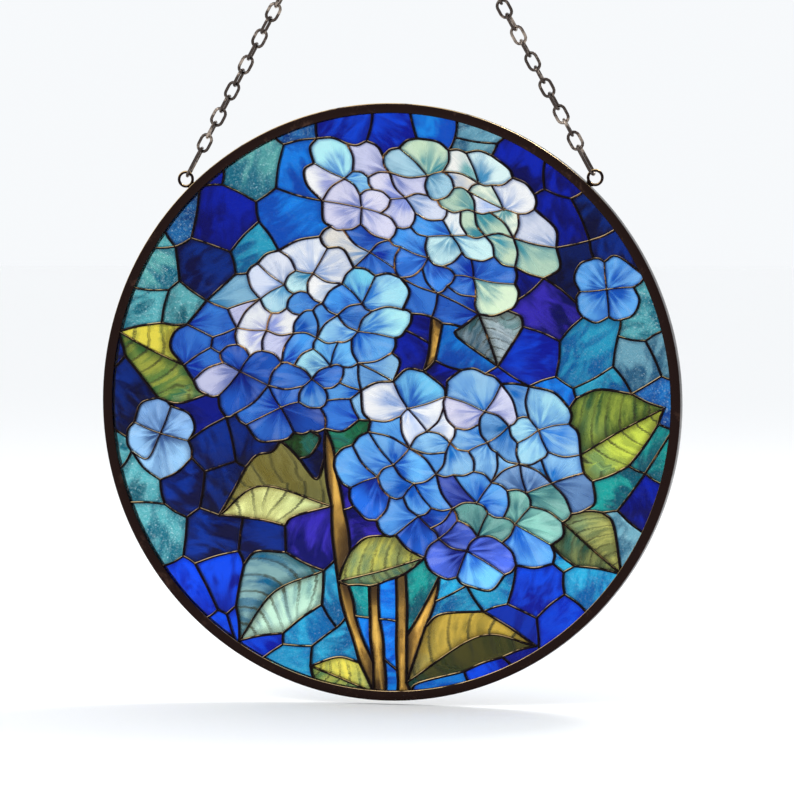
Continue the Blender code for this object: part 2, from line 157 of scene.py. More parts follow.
def read_piece(node):
    """Cells of one piece of glass, its corners moved out to the middle of the leads."""
    mesh = bmesh.new()
    mesh.from_mesh(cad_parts[node].data)
    bmesh.ops.remove_doubles(mesh, verts=mesh.verts, dist=WELD)
    front = [face for face in mesh.faces
             if max(vert.co.y for vert in face.verts) < -GLASS_HALF / 2]
    tops = [vert for vert in mesh.verts if vert.co.y < -GLASS_HALF - CROWN / 2]
    rings = [loop_round(list(top.link_faces)) for top in tops]
    left = [face for face in front if not any(vert in tops for vert in face.verts)]
    while left:
        patch = [left.pop()]
        for face in patch:
            for other in [other for edge in face.edges for other in edge.link_faces]:
                if other in left:
                    left.remove(other)
                    patch.append(other)
        rings.append(loop_round(patch))
    outline = loop_round(front)
    moved = dict(zip(outline, moved_out([in_plane(vert) for vert in outline],
                                        LEAD_WIDTH / 2 + PUTTY)))
    cells = [[moved.get(vert, in_plane(vert)) for vert in ring] for ring in rings]
    mesh.free()
    return cells


PETAL_WORDS = ("hydrangea", "floret")
GLASS_WORDS = (*PETAL_WORDS, "leaf", "stem", "background")
glass_nodes = sorted(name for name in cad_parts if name.split("_")[0] in GLASS_WORDS)
spots = []


def spot(point):
    """The number of a point of the panel: corners that nearly meet share one."""
    for number, other in enumerate(spots):
        if (other - point).length < PUTTY / 2:
            return number
    spots.append(point)
    return len(spots) - 1


cells = []
for node in glass_nodes:
    for ring in read_piece(node):
        corners = [spot(point) for point in ring]
        corners = [here for here, there in sides(corners) if here != there]
        cells.append({"node": node, "word": node.split("_")[0], "corners": corners})

# %% Make neighbouring cells share their corners
def with_corners_on(corners):
    """A ring of corners, with the corners of its neighbours that lie on its sides put in."""
    full = []
    for here, there in sides(corners):
        start, along = spots[here], spots[there] - spots[here]
        length = along.length
        along = along / length
        between = []
        for number, point in enumerate(spots):
            reach, off = (point - start).dot(along), (point - start).cross(along)
            if 2 * PUTTY < reach < length - 2 * PUTTY and abs(off) < PUTTY / 2:
                between.append((reach, number))
        full += [here] + [number for _, number in sorted(between)]
    return full


for cell in cells:
    cell["corners"] = with_corners_on(cell["corners"])

# The thin tip of a pane can stop just short of the joint that it should reach. Such a corner has
# one cell only, though it isn't at the rim, so it goes to the nearest corner that others share.
uses = Counter(corner for cell in cells for corner in cell["corners"])
for cell in cells:
    for place, corner in enumerate(cell["corners"]):
        point = spots[corner]
        if uses[corner] == 1 and point.length < EDGE_RADIUS - 3 * PUTTY:
            shared = [other for other in uses if uses[other] > 1 and other not in cell["corners"]]
            cell["corners"][place] = min(shared, key=lambda other: (spots[other] - point).length)
print("cells:", len(cells), "corners:", len(spots))

# %% [markdown]
# ## The lead lines
#
# Where three panes meet is a joint, and a lead runs from joint to joint. Glass is cut by hand,
# so leads aren't ruled: each one is drawn as a smooth line through its corners, with a slight
# bow where it has none. Both panes beside it use the same line, so they always fit.

# %% Find the joints and the runs between them
neighbours = {}
users = {}
for cell in cells:
    for a, b in sides(cell["corners"]):
        neighbours.setdefault(a, set()).add(b)
        neighbours.setdefault(b, set()).add(a)
        users.setdefault(frozenset((a, b)), []).append(cell)
joints = {number for number, near in neighbours.items() if len(near) != 2}
runs = []
walked = set()
for start in sorted(joints):
    for second in sorted(neighbours[start]):
        if frozenset((start, second)) in walked:
            continue
        path = [start, second]
        while path[-1] not in joints:
            path.append(next(n for n in neighbours[path[-1]] if n != path[-2]))
        walked |= {frozenset(pair) for pair in zip(path, path[1:])}
        runs.append(path)
print("joints:", len(joints), "leads:", len(runs), "edges with one side:",
      sum(len(cells_beside) == 1 for cells_beside in users.values()))

# %% Find the heart of each petal
FLORET_PETALS = 4


def corner_angle(corners, place):
    """The inner angle at one corner of a cell."""
    here = spots[corners[place]]
    before = spots[corners[place - 1]] - here
    after = spots[corners[(place + 1) % len(corners)]] - here
    return before.angle(after, math.pi)


petals_at = {}
for cell in cells:
    if cell["word"] in PETAL_WORDS:
        for corner in cell["corners"]:
            petals_at.setdefault(corner, []).append(cell)
hearts = {corner for corner, near in petals_at.items()
          if len(near) == len(neighbours[corner]) == FLORET_PETALS
          and len({cell["node"] for cell in near}) == 1}
for cell in cells:
    corners = cell["corners"]
    own = [place for place, corner in enumerate(corners) if corner in hearts]
    if own and cell["word"] in PETAL_WORDS:
        cell["heart"] = corners[min(own, key=lambda place: corner_angle(corners, place))]
print("hearts:", len(hearts), "petals with a heart:", sum("heart" in cell for cell in cells))

# %% Draw each run as a smooth line
STEP = 0.0013
BOW = 0.055
BOW_LIMIT = 0.0007
PETAL_BOW = 0.15
PETAL_BOW_LIMIT = 0.0017
SHUFFLE, ORDERS = 37, 101


def smooth_line(points):
    """Points about a step apart along a smooth line through the given ones."""
    ends = [2 * points[0] - points[1]] + points + [2 * points[-1] - points[-2]]
    line = []
    for a, b, c, d in zip(ends, ends[1:], ends[2:], ends[3:]):
        count = max(2, round((c - b).length / STEP))
        for number in range(count):
            t = number / count
            line.append(0.5 * (2 * b + t * (c - a) + t ** 2 * (2 * a - 5 * b + 4 * c - d)
                               + t ** 3 * (3 * b - a - 3 * c + d)))
    return line + [points[-1]]


def bowed_line(first, last, away_from=None):
    """A line with a slight bow, or with the round edge of the petal whose heart is given."""
    along = last - first
    height = max(-BOW_LIMIT, min(BOW_LIMIT, draw.uniform(-BOW, BOW) * along.length))
    normal = Vector((-along.y, along.x)).normalized()
    if away_from:
        height = min(PETAL_BOW_LIMIT, draw.uniform(0.7, 1) * PETAL_BOW * along.length)
        if normal.dot((first + last) / 2 - away_from) < 0:
            normal = -normal
    return smooth_line([first, (first + last) / 2 + height * normal, last])


def in_front(heart):
    """A place in a fixed order of the hearts that looks like chance."""
    return heart * SHUFFLE % ORDERS


def front_heart(beside):
    """The heart of the petal in front at a line, unless the line is inside one floret."""
    first, second = [cell.get("heart") for cell in beside]
    if first == second:
        return None
    return spots[max((heart for heart in (first, second) if heart is not None), key=in_front)]


lines = []
line_from = {}
for path in runs:
    points = [spots[number] for number in path]
    beside = users[frozenset(path[:2])]
    if len(beside) == 1:
        line = [point.normalized() * EDGE_RADIUS for point in smooth_line(points)]
    elif len(points) == 2 and beside[0]["word"] != "stem":
        line = bowed_line(*points, away_from=front_heart(beside))
    else:
        line = smooth_line(points)
    line_from[(path[0], path[1])] = line
    line_from[(path[-1], path[-2])] = line[::-1]
    lines.append({"points": line, "beside": beside, "ends": (path[0], path[-1])})
print(f"lead lines: {len(lines)}, {sum(len(line['points']) for line in lines)} points")


def outline_of(cell):
    """The outline of a cell along the smooth lines."""
    corners = cell["corners"]
    first = next(place for place, corner in enumerate(corners) if corner in joints)
    corners = corners[first:] + corners[:first]
    outline = []
    for here, there in sides(corners):
        if here in joints:
            outline += line_from[(here, there)][:-1]
    return outline


for cell in cells:
    cell["outline"] = outline_of(cell)
    cell["middle"] = sum(cell["outline"], Vector((0, 0))) / len(cell["outline"])
    cell["from"] = seeing_point(cell["outline"])

# %% [markdown]
# ## Colours by broad area
#
# Coloured glass is bought by the sheet: a cutter has a dozen sheets on the bench and cuts each
# pane from the one that suits its place. So there is a short palette of sheets, each with a pale
# and a deep tone, and a list of the broad areas where each is used, with chance between them.

# %% Sheets for the flower heads
def ink(red, green, blue):
    """A colour from screen values, 0 to 255, as the shader wants it."""
    return Vector([(value / 255) ** 2.2 for value in (red, green, blue)])


PETAL_SHEETS = {
    "white": ((240, 242, 250), (140, 170, 222),
              [(-0.02, 0.86), (0.5, 0.68), (0.1, 0.04), (-0.28, 0.47)]),
    "lavender": ((228, 226, 246), (132, 146, 212),
                 [(-0.05, 0.68), (0.3, 0.04), (-0.46, 0.28)]),
    "peach": ((246, 238, 222), (128, 168, 216), [(0.12, 0.88), (-0.14, 0.5)]),
    "aqua": ((190, 228, 238), (24, 132, 186),
             [(-0.26, 0.66), (0.2, 0.7), (-0.5, 0.46), (0.48, 0.3)]),
    "green": ((214, 236, 200), (70, 156, 170), [(0.34, 0.74), (0.42, 0.54)]),
    "sky": ((150, 204, 240), (20, 112, 200),
            [(-0.22, 0.82), (-0.08, 0.16), (0.26, -0.2), (0.56, -0.1)]),
    "azure": ((96, 168, 232), (4, 84, 190),
              [(-0.2, 0.2), (0.0, -0.12), (0.1, -0.3), (0.28, -0.33), (0.78, 0.38)]),
    "royal": ((60, 132, 224), (2, 48, 164),
              [(0.03, 0.46), (0.22, 0.4), (-0.3, 0.0), (-0.64, 0.16)]),
    "cobalt": ((34, 100, 204), (2, 28, 130), [(-0.48, -0.06), (-0.66, 0.02), (0.0, -0.42)]),
    "violet": ((70, 96, 196), (8, 20, 112), [(0.26, -0.51)]),
    "dusty": ((120, 160, 206), (30, 68, 130),
              [(0.52, -0.3), (-0.82, -0.12), (0.66, -0.24)]),
    "teal": ((130, 190, 176), (16, 92, 106), [(0.44, -0.44), (0.6, -0.46)]),
}

# %% Sheets for the ground
GROUND_SHEETS = {
    "seedy teal": ((90, 176, 180), (20, 104, 126), 1.0,
                   [(-0.45, 0.82), (-0.86, 0.3), (-0.82, -0.5), (-0.9, -0.3), (0.92, 0.36),
                    (-0.8, 0.5)]),
    "seedy blue": ((26, 108, 180), (6, 60, 126), 0.7, [(-0.22, 0.9), (-0.76, 0.6), (0.92, 0.1)]),
    "streaky grey": ((110, 166, 184), (36, 88, 120), 0.6,
                     [(0.8, 0.16), (0.42, 0.9), (0.84, -0.44)]),
    "turquoise": ((40, 160, 200), (6, 90, 148), 0.3,
                  [(-0.5, 0.58), (0.74, 0.06), (-0.22, -0.8), (0.2, -0.7), (0.66, -0.62)]),
    "sea green": ((24, 150, 146), (4, 84, 100), 0.3, [(0.92, -0.09), (0.77, -0.33), (0.1, -0.66)]),
    "azure": ((20, 132, 232), (4, 76, 184), 0.1,
              [(-0.38, 0.68), (0.24, 0.95), (0.46, 0.1), (0.02, -0.86), (0.16, -0.95), (-0.68, 0.4)]),
    "royal": ((12, 70, 216), (1, 24, 144), 0.0,
              [(-0.06, 0.97), (0.54, 0.26), (0.56, -0.74), (-0.44, -0.94), (-0.64, -0.76)]),
    "cobalt": ((6, 36, 170), (1, 8, 94), 0.0,
               [(-0.58, 0.73), (0.6, 0.74), (0.62, 0.46), (-0.7, -0.04), (0.2, 0.14), (0.87, -0.24)]),
    "navy": ((6, 46, 132), (1, 8, 58), 0.0,
             [(-0.6, 0.52), (0.74, 0.6), (-0.66, -0.24), (-0.62, -0.46), (-0.4, -0.46), (-0.92, 0.12),
              (-0.36, -0.6)]),
    "violet": ((56, 44, 170), (10, 10, 92), 0.0, [(0.66, 0.26), (-0.22, -0.5)]),
}

PETAL_AREAS = [(place, ink(*pale), ink(*deep)) for pale, deep, places in PETAL_SHEETS.values()
               for place in places]
GROUND_AREAS = [(place, ink(*pale), ink(*deep), seedy)
                for pale, deep, seedy, places in GROUND_SHEETS.values() for place in places]


def nearest_area(areas, point):
    """The area whose middle is nearest to a point of the panel."""
    return min(areas, key=lambda area: (Vector(area[0]) * EDGE_RADIUS - point).length)


def varied(colour, amount):
    """A colour a little lighter or darker, warmer or cooler."""
    light = 1 + draw.uniform(-amount, amount)
    warm = draw.uniform(-amount, amount) / 2
    return Vector((colour.x * (light + warm), colour.y * light, colour.z * (light - warm)))


# %% Leaves and stems
LEAF_LOOKS = {
    "leaf_upper_left": ((-1, 0.7), ink(236, 220, 80), ink(50, 110, 60)),
    "leaf_middle_left": ((-1, -0.1), ink(238, 242, 160), ink(134, 130, 60)),
    "leaf_lower_left": ((-1, -0.8), ink(190, 228, 204), ink(2, 88, 128)),
    "leaf_centre": ((1, 0.3), ink(190, 186, 84), ink(14, 84, 84)),
    "leaf_lower_right": ((1, 0.4), ink(188, 158, 64), ink(30, 56, 36)),
    "leaf_bottom": ((-1, 0.2), ink(240, 224, 90), ink(86, 128, 80)),
    "leaf_right": ((1, 0.5), ink(210, 226, 84), ink(56, 86, 44)),
    "leaf_edge": ((1, -0.8), ink(168, 168, 92), ink(40, 66, 50)),
    "leaf_small_left": ((-1, 0), ink(60, 110, 50), ink(8, 34, 14)),
    "leaf_small_right": ((0.5, 1), ink(50, 150, 96), ink(10, 84, 60)),
    "leaf_hanging": ((0.1, -1), ink(180, 196, 202), ink(60, 90, 108)),
}
PALE_HALVES = {"leaf_middle_left": -1, "leaf_lower_left": -1, "leaf_lower_right": 1,
               "leaf_right": -1}
STEM_PALE, STEM_DEEP = ink(230, 178, 84), ink(74, 42, 14)
print("petal areas:", len(PETAL_AREAS), "ground areas:", len(GROUND_AREAS))

# %% [markdown]
# ## Which way the glass runs
#
# Petal glass is streaked from the floret's heart outward, leaf glass along its veins, and sheet
# glass along the sheet. Each cell gets a local frame for that, so one material can draw every
# streak: u runs along the petal, leaf or sheet, and v across it. A leaf's v starts at its rib,
# and a stem's two long edges have a fixed v, so that its shading follows the bend.

# %% Set the run of the petals, leaves, stems and sheets
PETAL_RUN = 1.9
SHEET_RUN = 0.02
STEM_EDGE = 0.5
for cell in cells:
    if cell["word"] in PETAL_WORDS:
        corners = cell["corners"]
        sharpest = min(range(len(corners)), key=lambda place: corner_angle(corners, place))
        cell["origin"] = spots[cell.get("heart", corners[sharpest])]
        cell["along"] = (cell["middle"] - cell["origin"]) * PETAL_RUN
halves, ribs = {}, {}
for cell in cells:
    if cell["word"] == "leaf":
        halves.setdefault(cell["node"], []).append(cell)
for line in lines:
    first, last = line["beside"][0], line["beside"][-1]
    if first is not last and first["word"] == "leaf" and first["node"] == last["node"]:
        ribs.setdefault(first["node"], []).extend(line["points"])
for node, pair in halves.items():
    lean = Vector(LEAF_LOOKS[node][0]).normalized()
    points = [point for cell in pair for point in cell["outline"]]
    base = min(points, key=lambda point: point.dot(lean))
    tip = max(points, key=lambda point: point.dot(lean))
    for cell in pair:
        cell["origin"], cell["along"] = base, tip - base
        cell["rib"] = ribs.get(node, []) + [base, tip]
for cell in cells:
    if cell["word"] == "stem":
        low = min(cell["outline"], key=lambda point: point.y)
        high = max(cell["outline"], key=lambda point: point.y)
        cell["origin"], cell["along"] = low, high - low
        start, end = cell["outline"].index(low), cell["outline"].index(high)
        count = len(cell["outline"])
        cell["edges"] = [STEM_EDGE if (number - start) % count < (end - start) % count
                         else -STEM_EDGE for number in range(count)]
    if cell["word"] == "background":
        turn = draw.uniform(0, math.pi)
        cell["origin"] = cell["middle"]
        cell["along"] = SHEET_RUN * Vector((math.cos(turn), math.sin(turn)))
print("leaves:", len(halves), "with a rib:", len(ribs))

# %% Give each cell its two tones
SCATTER = 0.05
MILK = 0.93


def toned(pale, deep, light):
    """A pair of tones made milkier where light is below 0, and deeper where it is above."""
    if light < 0:
        milky = Vector([min(MILK, value * (1 - 1.6 * light)) for value in pale])
        return milky, deep.lerp(pale, -0.4 * light)
    return pale.lerp(deep, 0.7 * light), deep * (1 - 0.4 * light)


floret_light = {heart: draw.uniform(-0.35, 0.55) for heart in sorted(hearts)}
for cell in cells:
    scatter = Vector((draw.gauss(0, SCATTER), draw.gauss(0, SCATTER))) * EDGE_RADIUS
    if "heart" in cell:
        _, pale, deep = nearest_area(PETAL_AREAS, spots[cell["heart"]] + scatter)
        light = floret_light[cell["heart"]] + draw.uniform(-0.2, 0.2)
    elif cell["word"] in PETAL_WORDS:
        _, pale, deep = nearest_area(PETAL_AREAS, cell["middle"] + scatter)
        light = draw.uniform(0.1, 0.8)
    if cell["word"] in PETAL_WORDS:
        cell["kind"] = 1.0 if "heart" in cell else 0.0
        pale, deep = toned(pale, deep, max(-0.8, min(0.9, light)))
        cell["pale"], cell["deep"] = varied(pale, 0.05), varied(deep, 0.15)
    elif cell["word"] == "background":
        _, pale, deep, cell["kind"] = nearest_area(GROUND_AREAS, cell["middle"] + scatter)
        light = draw.uniform(-0.15, 0.45)
        cell["pale"] = varied(pale * (1 - 0.3 * light), 0.15)
        cell["deep"] = varied(deep * (1 - 0.4 * light), 0.2)
    elif cell["word"] == "leaf":
        _, pale, deep = LEAF_LOOKS[cell["node"]]
        centre = sum((half["middle"] for half in halves[cell["node"]]), Vector((0, 0))) / 2
        upper = 1 if cell["middle"].y > centre.y else -1
        cell["kind"] = 1.0 if upper == PALE_HALVES.get(cell["node"], 1) else 0.0
        between = pale.lerp(deep, 0.6)
        cell["pale"], cell["deep"] = (pale, between) if cell["kind"] else (between, deep)
    else:
        cell["kind"] = 0.0
        cell["pale"], cell["deep"] = varied(STEM_PALE, 0.08), varied(STEM_DEEP, 0.1)
print("tones set for", sum("pale" in cell for cell in cells), "cells")

# %% [markdown]
# ## The glass
#
# Each pane is its own closed body: an edge that reaches into the lead, a low crown in front as
# old glass has, and a slightly rolling surface. The tones and the local frame ride on it as
# attributes, and the materials below read them.

# %% Helpers to turn a mesh into a piece of the panel
def placed(name, data):
    """A new object in the scene."""
    thing = bpy.data.objects.new(name, data)
    bpy.context.scene.collection.objects.link(thing)
    return thing


def new_mesh(name, verts, faces):
    """A mesh from lists of vertices and faces."""
    mesh = bpy.data.meshes.new(name)
    mesh.from_pydata(verts, [], faces)
    return mesh


def smooth_piece(name, mesh, slot, crease):
    """A smooth piece that rides with the panel, creased where its faces turn by more degrees."""
    mesh.shade_smooth()
    mesh.set_sharp_from_angle(angle=math.radians(crease))
    piece = placed(name, mesh)
    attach(piece, "root")
    return piece


# %% Build one body of glass for each cell, joined by piece
RINGS = (1.0, 0.86, 0.64, 0.38, 0.14)
UNDER_LEAD = 0.00022
CROWN_SHARE = 0.85
ROLL = 0.00006
ROLL_SIZE = 140
GLASS_CREASE = 50
ATTRIBUTES = {"pale": ("FLOAT_COLOR", "color"), "deep": ("FLOAT_COLOR", "color"),
              "grain": ("FLOAT_VECTOR", "vector"), "kind": ("FLOAT", "value"),
              "near_lead": ("FLOAT", "value")}


def level_at(point, share, side):
    """How far the glass stands from the panel's middle plane at one point."""
    crown = CROWN * CROWN_SHARE * (1 - share ** 2) if side < 0 else 0
    rolling = ROLL * noise.noise(Vector((point.x, point.y, side)) * ROLL_SIZE)
    return side * (GLASS_HALF - ROLL + crown) + rolling * (1 - share)


def run_of(cell, point):
    """Where a point lies in its cell's frame: along it and across it, as shares of its length."""
    length = cell["along"].length
    unit = cell["along"] / length
    away = point - cell["origin"]
    share, aside = away.dot(unit) / length, unit.cross(away) / length
    if "rib" in cell:
        near = min(cell["rib"], key=lambda other: (other - point).length)
        share = (near - cell["origin"]).dot(unit) / length
        aside = math.copysign((near - point).length / length, unit.cross(point - near))
    return share, aside


def glass_mesh(name, own_cells):
    """One mesh with all panes of a piece, and their tones and run as attributes."""
    verts, faces = [], []
    attributes = {key: [] for key in ATTRIBUTES}
    for cell in own_cells:
        seed = draw.uniform(0, 50)
        outline = moved_out(cell["outline"], -UNDER_LEAD, sharpest=0.4)
        edges = cell.get("edges", [None] * len(outline))
        shares = RINGS if cell["from"] else (1.0,)
        middle = cell["from"] or cell["middle"]

        def add_vert(point, share, side, edge):
            along, aside = run_of(cell, point)
            verts.append((point.x + MIDDLE.x, level_at(point, share, side), point.y + MIDDLE.z))
            attributes["pale"] += [*cell["pale"], 1]
            attributes["deep"] += [*cell["deep"], 1]
            attributes["grain"] += [along, aside if edge is None else edge * share, seed]
            attributes["kind"].append(cell["kind"])
            attributes["near_lead"].append(share)
            return len(verts) - 1

        borders = []
        for side in (-1, 1):
            rings = [[add_vert(middle.lerp(point, share), share, side, edge)
                      for point, edge in zip(outline, edges)] for share in shares]
            borders.append(rings[0])
            for outer, inner in zip(rings, rings[1:]):
                for (a, b), (c, d) in zip(sides(outer), sides(inner)):
                    faces.append((a, b, d, c) if side < 0 else (b, a, c, d))
            faces.append(rings[-1] if side < 0 else rings[-1][::-1])
        for (a, b), (c, d) in zip(sides(borders[0]), sides(borders[1])):
            faces.append((b, a, c, d))
    mesh = new_mesh(name, verts, faces)
    for key, (kind, field) in ATTRIBUTES.items():
        mesh.attributes.new(key, kind, "POINT").data.foreach_set(field, attributes[key])
    return mesh


SLOTS = {"hydrangea": "petal_glass", "floret": "petal_glass", "leaf": "leaf_glass",
         "stem": "stem_glass", "background": "ground_glass"}
glass = {}
for node in glass_nodes:
    mesh = glass_mesh("glass_" + node, [cell for cell in cells if cell["node"] == node])
    glass[node] = smooth_piece("glass_" + node, mesh, SLOTS[node.split("_")[0]], GLASS_CREASE)
    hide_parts(node)
print("glass faces:", sum(len(piece.data.polygons) for piece in glass.values()))

# %% [markdown]
# ## Leads and solder
#
# A lead is seen from the front as a rounded bead a millimetre or so wide, proud of the glass on
# both sides, and where leads meet the solder makes a small round lump. Sweeping one section along
# every line gives the beads, and a flattened ball at each joint gives the lumps.

# %% Set the section and the width of the leads
BEAD_HEIGHT = 0.0007
CAP_STEPS = 5
PETAL_LEAD = 0.00080
FLORET_LEAD = 0.00108
GROUND_LEAD = 0.00118
OUTLINE_LEAD = 0.00132

SECTION = []
for side in (-1, 1):
    for step in range(CAP_STEPS + 1):
        angle = math.pi * step / CAP_STEPS
        SECTION.append((-side * math.cos(angle),
                        side * (LEAD_HALF - BEAD_HEIGHT * (1 - math.sin(angle)))))
print("points across a lead:", len(SECTION))


def width_of(line):
    """How wide the lead along a line is."""
    first, last = line["beside"][0], line["beside"][-1]
    if first["node"] != last["node"] or len(line["beside"]) == 1:
        drawn = {"hydrangea", "leaf", "stem"} & {first["word"], last["word"]}
        return OUTLINE_LEAD if drawn else GROUND_LEAD
    if first["word"] == "background":
        return GROUND_LEAD
    return PETAL_LEAD if "heart" in first and first["heart"] == last.get("heart") else FLORET_LEAD


def family_of(line):
    """The piece of leading that a line belongs to: a head's own thin leads are one piece."""
    first, last = line["beside"][0], line["beside"][-1]
    in_head = first["node"] == last["node"] and first["word"] in PETAL_WORDS
    return first["node"] if in_head and len(line["beside"]) == 2 else "leading"


# %% Sweep the leads and drop the solder
WIDTH_CHANCE = 0.10
CHANCE_SIZE = 300
LUMP_RINGS = 7
LUMP_SIDES = 10
LUMP_FLATNESS = 0.6
LUMP_PROUD = 0.00006
HEART_RADIUS = 0.0011
SOLDER_SHARES = (0.62, 0.78)
LEAD_CREASE = 70


def band(first, second, count):
    """The faces between two rings of vertices, from the number of each ring's first vertex."""
    return [(first + a, first + b, second + b, second + a) for a, b in sides(list(range(count)))]


def caps(first, last, count):
    """The two faces that close a tube."""
    return [tuple(range(first, first + count))[::-1], tuple(range(last, last + count))]


class LeadWork:
    """Gathers the swept leads and the solder of one piece."""

    def __init__(self):
        self.verts, self.faces = [], []

    def sweep(self, points, width):
        """A lead along a line, its width slightly uneven."""
        starts, count = [], len(SECTION)
        phase = draw.uniform(0, 100)
        for before, point, after in zip(points[:1] + points, points, points[1:] + points[-1:]):
            along = after - before
            across = Vector((-along.y, along.x)).normalized()
            where = Vector((point.x * CHANCE_SIZE, point.y * CHANCE_SIZE, phase))
            half = width / 2 * (1 + WIDTH_CHANCE * noise.noise(where))
            starts.append(len(self.verts))
            for share, depth in SECTION:
                place = point + across * share * half
                self.verts.append((place.x + MIDDLE.x, depth, place.y + MIDDLE.z))
        for first, second in zip(starts, starts[1:]):
            self.faces += band(first, second, count)
        self.faces += caps(starts[0], starts[-1], count)

    def lump(self, middle, radius):
        """A flattened ball of solder at a joint."""
        starts = []
        for ring in range(1, LUMP_RINGS):
            tilt = math.pi * ring / LUMP_RINGS
            flat = radius * math.sin(tilt) ** LUMP_FLATNESS
            depth = -math.cos(tilt) * (LEAD_HALF + LUMP_PROUD)
            starts.append(len(self.verts))
            for step in range(LUMP_SIDES):
                turn = 2 * math.pi * step / LUMP_SIDES
                self.verts.append((middle.x + MIDDLE.x + flat * math.cos(turn), depth,
                                   middle.y + MIDDLE.z + flat * math.sin(turn)))
        for first, second in zip(starts, starts[1:]):
            self.faces += band(first, second, LUMP_SIDES)
        self.faces += caps(starts[0], starts[-1], LUMP_SIDES)


works, widest = {}, {}
for line in lines:
    family, width = family_of(line), width_of(line)
    works.setdefault(family, LeadWork()).sweep(line["points"], width)
    for joint in line["ends"]:
        if width > widest.get(joint, (0, family))[0]:
            widest[joint] = (width, family)
for joint, (width, family) in sorted(widest.items()):
    radius = HEART_RADIUS if joint in hearts else width * draw.uniform(*SOLDER_SHARES)
    works[family].lump(spots[joint], radius)
leads = {}
for family, work in sorted(works.items()):
    name = "leads_" + family
    leads[family] = smooth_piece(name, new_mesh(name, work.verts, work.faces), "bronze_leading",
                                 LEAD_CREASE)
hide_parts("leading")
print("lead pieces:", {name: len(piece.data.polygons) for name, piece in leads.items()})

# %% [markdown]
# ## The rim
#
# The rim is a brass channel bent round the panel and darkened. Turning one profile round the
# middle makes it, which is what a lathe or Blender's Screw does. The profile's corners are
# rounded, because a worn edge is where the light catches.

# %% Turn the rim
RIM_FACE = 0.005
RIM_TURNS = 192
EDGE_ROUND = 0.0007
LIP_ROUND = 0.0005
BAND_RISE = 0.00025
GROOVE_ROUND = 0.0002
METAL_CREASE = 60


def finished(name, verts, faces, slot):
    """A piece made of closed bodies, with all their faces turned outward."""
    mesh = new_mesh(name, verts, faces)
    shape = bmesh.new()
    shape.from_mesh(mesh)
    bmesh.ops.recalc_face_normals(shape, faces=shape.faces)
    shape.to_mesh(mesh)
    shape.free()
    return smooth_piece(name, mesh, slot, METAL_CREASE)


def rounded_corners(corners, steps=4):
    """A polygon with each corner (point, radius) rounded off, or sharp where the radius is 0."""
    points = []
    for (before, _), (here, radius), (after, _) in triples(corners):
        back, ahead = (before - here).normalized(), (after - here).normalized()
        for step in range(steps + 1 if radius else 1):
            t = step / steps
            points.append(here + radius * (back * (1 - t) ** 2 + ahead * t ** 2))
    return points


def turned(name, profile, steps, slot):
    """A ring round the panel's middle, from a profile of (distance, depth) points."""
    verts, faces = [], []
    for step in range(steps):
        turn = 2 * math.pi * step / steps
        verts += [(MIDDLE.x + p.x * math.cos(turn), p.y, MIDDLE.z + p.x * math.sin(turn))
                  for p in profile]
    for first, second in sides([step * len(profile) for step in range(steps)]):
        faces += band(first, second, len(profile))
    return finished(name, verts, faces, slot)


lip = RIM_RADIUS - RIM_FACE
wall = LEAD_HALF + PUTTY
floor_of_channel = EDGE_RADIUS + PUTTY
front_half = [(RIM_RADIUS, -RIM_HALF, EDGE_ROUND), (RIM_RADIUS - RIM_FACE / 2, -RIM_HALF, 0.0),
              (lip, -RIM_HALF + BAND_RISE, LIP_ROUND), (lip, -wall, GROOVE_ROUND),
              (floor_of_channel, -wall, GROOVE_ROUND)]
back_half = [(distance, -depth, radius) for distance, depth, radius in front_half[::-1]]
rim_profile = rounded_corners([(Vector((distance, depth)), radius)
                               for distance, depth, radius in front_half + back_half])
rim = turned("rim", rim_profile, RIM_TURNS, "bronze_rim")
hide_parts("frame_ring")
print("rim faces:", len(rim.data.polygons))

# %% [markdown]
# ## Ring, loops and chains
#
# Everything here is bent wire: a ring to hang by, two loops soldered to the rim, and links that
# hook into each other, every other one turned a quarter. One function draws round wire along any
# closed path, so ring, loop and link differ only in their path.

# %% Draw round wire along a closed path
WIRE_SIDES = 10


def wire(path, radius, normal):
    """Verts and faces of round wire along a closed flat path."""
    verts, faces = [], []
    for before, here, after in triples(path):
        across = (after - before).cross(normal).normalized()
        for step in range(WIRE_SIDES):
            turn = 2 * math.pi * step / WIRE_SIDES
            verts.append(here + radius * (across * math.cos(turn) + normal * math.sin(turn)))
    for first, second in sides([step * WIRE_SIDES for step in range(len(path))]):
        faces += band(first, second, WIRE_SIDES)
    return verts, faces


def joined(bodies):
    """The verts and faces of several bodies as one list of each."""
    verts, faces = [], []
    for body_verts, body_faces in bodies:
        faces += [tuple(number + len(verts) for number in face) for face in body_faces]
        verts += body_verts
    return verts, faces


def round_path(middle, radius, steps):
    """A circle that faces the front."""
    return [middle + radius * Vector((math.cos(turn), 0, math.sin(turn)))
            for turn in [2 * math.pi * step / steps for step in range(steps)]]


# %% Bend the ring and the loops
FRONT = Vector((0, 1, 0))
ring_low, ring_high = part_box("hanging_ring")
ring_middle = (ring_low + ring_high) / 2
RING_WIRE = 0.002
ring_radius = (ring_high.x - ring_low.x) / 2 - RING_WIRE / 2
ring = finished("ring", *wire(round_path(ring_middle, ring_radius, 64), RING_WIRE / 2, FRONT),
                "bronze_chain")
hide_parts("hanging_ring")

